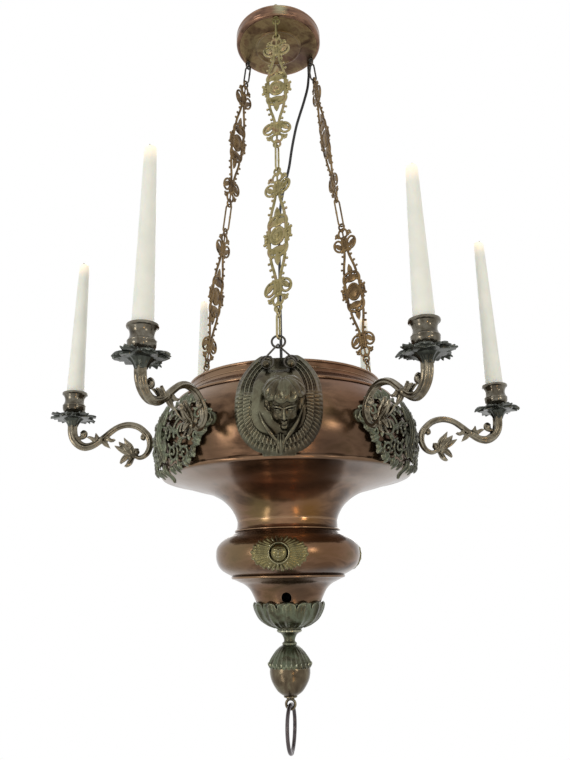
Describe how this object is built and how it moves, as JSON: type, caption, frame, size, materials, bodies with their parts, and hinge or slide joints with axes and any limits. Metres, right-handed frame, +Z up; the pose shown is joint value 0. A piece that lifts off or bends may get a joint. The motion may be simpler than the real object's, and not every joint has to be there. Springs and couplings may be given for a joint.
{
  "type": "church chandelier",
  "caption": "Hanging church lamp with a bulbous copper bowl, scroll candle arms, cherub castings and openwork plate chains from a round ceiling canopy",
  "frame": {"origin": "centre of the ceiling plate's top face, where it meets the ceiling", "axes": "+Z up, away from the bowl; -Y towards the viewer of the picture, along the front chain and cherub; +X to their right"},
  "size_m": [0.604, 0.529, 0.9952],
  "materials": {
    "copper": "aged copper with olive patina",
    "brass": "worn olive-yellow brass",
    "dark_brass": "dark tarnished brass",
    "bronze": "dark brown bronze",
    "verdigris_bronze": "green-grey bronze casting",
    "iron": "dark wrought wire",
    "wax": "ivory candle wax",
    "rubber": "black flex sheath",
    "bakelite": "dark brown moulding"
  },
  "bodies": {
    "canopy": {"ceiling_plate": "iron", "canopy": "copper", "canopy_hook_front": "iron", "canopy_hook_back_right": "iron", "canopy_hook_back_left": "iron", "flex": "rubber", "lamp_holder": "bakelite"},
    "front_top_link": {"top_link_front": "iron"},
    "front_chain": {"upper_plate_front": "brass", "middle_link_front": "brass", "lower_plate_front": "brass", "lower_link_front": "brass"},
    "front_ring": {"ring_front": "iron"},
    "bowl": {"bowl": "copper", "lower_bulb": "copper", "leaf_cup": "verdigris_bronze", "acorn_finial": "verdigris_bronze", "yoke_front": "iron", "yoke_back_right": "iron", "yoke_back_left": "iron", "ring_back_right": "iron", "ring_back_left": "iron", "cherub_front": "verdigris_bronze", "cherub_back_right": "verdigris_bronze", "cherub_back_left": "verdigris_bronze", "plaque_right": "verdigris_bronze", "plaque_back": "verdigris_bronze", "plaque_left": "verdigris_bronze", "sun_medallion_front": "brass", "sun_medallion_back_right": "brass", "sun_medallion_back_left": "brass", "arm_1": "bronze", "candle_cup_1": "bronze", "arm_2": "bronze", "candle_cup_2": "bronze", "arm_3": "bronze", "candle_cup_3": "bronze", "arm_4": "bronze", "candle_cup_4": "bronze", "arm_5": "bronze", "candle_cup_5": "bronze", "arm_6": "bronze", "candle_cup_6": "bronze"},
    "back_right_top_link": {"top_link_back_right": "iron"},
    "back_right_chain": {"upper_plate_back_right": "dark_brass", "middle_link_back_right": "dark_brass", "lower_plate_back_right": "dark_brass", "lower_link_back_right": "dark_brass"},
    "back_left_top_link": {"top_link_back_left": "iron"},
    "back_left_chain": {"upper_plate_back_left": "dark_brass", "middle_link_back_left": "dark_brass", "lower_plate_back_left": "dark_brass", "lower_link_back_left": "dark_brass"},
    "candle_1": {"candle_1": "wax"},
    "candle_2": {"candle_2": "wax"},
    "candle_3": {"candle_3": "wax"},
    "candle_4": {"candle_4": "wax"},
    "candle_5": {"candle_5": "wax"},
    "candle_6": {"candle_6": "wax"},
    "pull_ring": {"pull_ring": "bronze"}
  },
  "joints": [
    {"name": "sway_fore_aft", "type": "hinge", "parent": "canopy", "child": "front_top_link", "pos_m": [-0.00249, -0.05695, -0.0372], "axis": [0.999, -0.0436, 0], "range_deg": [-5, 5]},
    {"name": "sway_side", "type": "hinge", "parent": "front_top_link", "child": "front_chain", "pos_m": [-0.00265, -0.06071, -0.06151], "axis": [0.0431, 0.9872, -0.1533], "range_deg": [-5, 5]},
    {"name": "front_ring_tilt", "type": "hinge", "parent": "front_chain", "child": "front_ring", "pos_m": [-0.00593, -0.13572, -0.54557], "axis": [0.999, -0.0436, 0], "range_deg": [-2.11, 2.11]},
    {"name": "bowl_roll", "type": "hinge", "parent": "front_ring", "child": "bowl", "pos_m": [-0.00603, -0.13802, -0.56039], "axis": [0.0431, 0.9872, -0.1533], "range_deg": [-2.21, 2.21]},
    {"name": "back_right_fore_aft", "type": "hinge", "parent": "canopy", "child": "back_right_top_link", "pos_m": [0.05056, 0.02632, -0.0372], "axis": [0.9898, -0.0535, 0.1323], "range_deg": [-4.97, 4.97]},
    {"name": "back_right_side", "type": "hinge", "parent": "back_right_top_link", "child": "back_right_chain", "pos_m": [0.0539, 0.02806, -0.06151], "axis": [0.0126, 0.9972, 0.0731], "range_deg": [-4.95, 4.95]},
    {"name": "back_left_fore_aft", "type": "hinge", "parent": "canopy", "child": "back_left_top_link", "pos_m": [-0.04807, 0.03063, -0.0372], "axis": [0.9907, -0.033, -0.1323], "range_deg": [-4.97, 4.97]},
    {"name": "back_left_side", "type": "hinge", "parent": "back_left_top_link", "child": "back_left_chain", "pos_m": [-0.05125, 0.03265, -0.06151], "axis": [0.0744, 0.9945, 0.0731], "range_deg": [-4.95, 4.95]},
    {"name": "candle_1_lift", "type": "slide", "parent": "bowl", "child": "candle_1", "axis": [0, 0, 1], "range_m": [0, 0.021]},
    {"name": "candle_2_lift", "type": "slide", "parent": "bowl", "child": "candle_2", "axis": [0, 0, 1], "range_m": [0, 0.021]},
    {"name": "candle_3_lift", "type": "slide", "parent": "bowl", "child": "candle_3", "axis": [0, 0, 1], "range_m": [0, 0.021]},
    {"name": "candle_4_lift", "type": "slide", "parent": "bowl", "child": "candle_4", "axis": [0, 0, 1], "range_m": [0, 0.021]},
    {"name": "candle_5_lift", "type": "slide", "parent": "bowl", "child": "candle_5", "axis": [0, 0, 1], "range_m": [0, 0.021]},
    {"name": "candle_6_lift", "type": "slide", "parent": "bowl", "child": "candle_6", "axis": [0, 0, 1], "range_m": [0, 0.021]},
    {"name": "pull_ring_swing", "type": "hinge", "parent": "bowl", "child": "pull_ring", "pos_m": [0, 0, -0.94298], "axis": [0.1736, 0.9848, 0], "range_deg": [-75, 75]}
  ],
  "couplings": [
    {"joint": "front_ring_tilt", "follows": "sway_fore_aft", "ratio": -0.41958},
    {"joint": "bowl_roll", "follows": "sway_side", "ratio": -0.43989},
    {"joint": "back_right_fore_aft", "follows": "sway_fore_aft", "ratio": 0.99116},
    {"joint": "back_right_side", "follows": "sway_side", "ratio": 0.98697},
    {"joint": "back_left_fore_aft", "follows": "sway_fore_aft", "ratio": 0.99116},
    {"joint": "back_left_side", "follows": "sway_side", "ratio": 0.98697}
  ]
}
